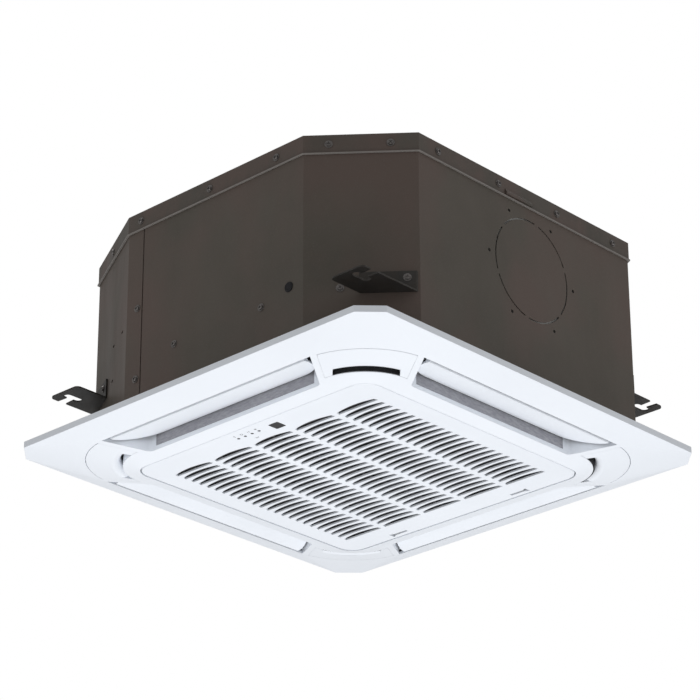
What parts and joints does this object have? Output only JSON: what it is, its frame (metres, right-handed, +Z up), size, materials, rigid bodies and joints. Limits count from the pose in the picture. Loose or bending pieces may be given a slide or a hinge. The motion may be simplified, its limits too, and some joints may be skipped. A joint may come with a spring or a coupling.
{
  "type": "ceiling cassette air conditioner",
  "caption": "Square ceiling cassette air conditioner: dark octagonal casing with slotted hangers, white panel with outlets, louvres and a hinged slotted intake grille.",
  "frame": {"origin": "centre of the four hanger slots, on the underside of the hanger plates", "axes": "+Z up towards the structural ceiling, +Y towards the back, the panel's square sides along X and Y"},
  "size_m": [0.6495, 0.647, 0.325],
  "materials": {
    "lid_paint": "dark coated steel, satin",
    "casing_paint": "dark coated steel, satin",
    "hanger_paint": "dark steel",
    "screw_zinc": "zinc plated",
    "liner_foam": "expanded foam",
    "pan_foam": "expanded foam",
    "fin_aluminium": "thin fins",
    "copper": "drawn copper",
    "plate_zinc": "galvanised",
    "mouth_plastic": "moulded",
    "fan_plastic": "moulded",
    "shaft_steel": "ground",
    "motor_steel": "pressed shell",
    "mount_rubber": "soft",
    "dark_plastic": "moulded",
    "board": "coated board",
    "pump_plastic": "moulded",
    "hose_plastic": "flexible",
    "spigot_plastic": "moulded",
    "brass": "machined",
    "panel_white": "smooth moulded",
    "duct_grey": "moulded",
    "black_foam": "soft foam",
    "louvre_white": "smooth moulded",
    "grille_white": "smooth moulded",
    "filter_plastic": "moulded",
    "mesh_dark": "fine net",
    "lamp_lens": "clear lens",
    "window_dark": "dark filter"
  },
  "bodies": {
    "housing": {"top_plate": "lid_paint", "casing_front": "casing_paint", "casing_rear": "casing_paint", "hanger_front_left": "hanger_paint", "hanger_front_right": "hanger_paint", "hanger_back_left": "hanger_paint", "hanger_back_right": "hanger_paint", "casing_screws": "screw_zinc", "foam_liner": "liner_foam", "drain_pan": "pan_foam", "coil_fins": "fin_aluminium", "coil_tubes": "copper", "coil_plates": "plate_zinc", "bell_mouth": "mouth_plastic", "fan_motor": "motor_steel", "motor_mounts": "mount_rubber", "motor_bracket": "plate_zinc", "electrical_box": "plate_zinc", "electrical_cover": "plate_zinc", "terminal_block": "dark_plastic", "control_board": "board", "drain_pump": "pump_plastic", "drain_hose": "hose_plastic", "drain_outlet": "spigot_plastic", "float_switch": "dark_plastic", "gas_pipe": "copper", "liquid_pipe": "copper", "flare_nuts": "brass", "pipe_plate": "plate_zinc", "panel_frame": "panel_white", "duct_frame": "duct_grey", "panel_gasket": "black_foam", "panel_screws": "screw_zinc", "cover_front_left": "panel_white", "cover_front_right": "panel_white", "cover_back_left": "panel_white", "cover_back_right": "panel_white", "slot_foam": "black_foam", "louvre_bushes": "dark_plastic", "louvre_motors": "motor_steel"},
    "grille": {"grille": "grille_white", "filter_frame": "filter_plastic", "filter_mesh": "mesh_dark", "display_box": "dark_plastic", "lamp_lenses": "lamp_lens", "receiver_window": "window_dark"},
    "latch_back": {"latch_back": "panel_white"},
    "latch_front": {"latch_front": "panel_white"},
    "louvre_left": {"louvre_left": "louvre_white"},
    "louvre_front": {"louvre_front": "louvre_white"},
    "louvre_right": {"louvre_right": "louvre_white"},
    "louvre_back": {"louvre_back": "louvre_white"},
    "fan": {"fan_wheel": "fan_plastic", "fan_shaft": "shaft_steel", "fan_nut": "screw_zinc"},
    "float": {"float_ring": "pump_plastic"}
  },
  "joints": [
    {"name": "grille_hinge", "type": "hinge", "parent": "housing", "child": "grille", "pos_m": [-0.2253, 0, -0.0935], "axis": [0, 1, 0], "range_deg": [0, 85]},
    {"name": "latch_back_slide", "type": "slide", "parent": "grille", "child": "latch_back", "axis": [0, -1, 0], "range_m": [0, 0.008]},
    {"name": "latch_front_slide", "type": "slide", "parent": "grille", "child": "latch_front", "axis": [0, 1, 0], "range_m": [0, 0.008]},
    {"name": "louvre_left_turn", "type": "hinge", "parent": "housing", "child": "louvre_left", "pos_m": [-0.282, 0, -0.079], "axis": [0, -1, 0], "range_deg": [-23, 37]},
    {"name": "louvre_front_turn", "type": "hinge", "parent": "housing", "child": "louvre_front", "pos_m": [0, -0.282, -0.079], "axis": [1, 0, 0], "range_deg": [-23, 37]},
    {"name": "louvre_right_turn", "type": "hinge", "parent": "housing", "child": "louvre_right", "pos_m": [0.282, 0, -0.079], "axis": [0, 1, 0], "range_deg": [-23, 37]},
    {"name": "louvre_back_turn", "type": "hinge", "parent": "housing", "child": "louvre_back", "pos_m": [0, 0.282, -0.079], "axis": [-1, 0, 0], "range_deg": [-23, 37]},
    {"name": "fan_spin", "type": "hinge", "parent": "housing", "child": "fan", "pos_m": [0, 0, 0.06], "axis": [0, 0, 1], "continuous": true},
    {"name": "float_slide", "type": "slide", "parent": "housing", "child": "float", "axis": [0, 0, 1], "range_m": [0, 0.008]}
  ],
  "couplings": [
    {"joint": "louvre_front_turn", "follows": "louvre_left_turn", "ratio": 1},
    {"joint": "louvre_right_turn", "follows": "louvre_left_turn", "ratio": 1},
    {"joint": "louvre_back_turn", "follows": "louvre_left_turn", "ratio": 1}
  ]
}
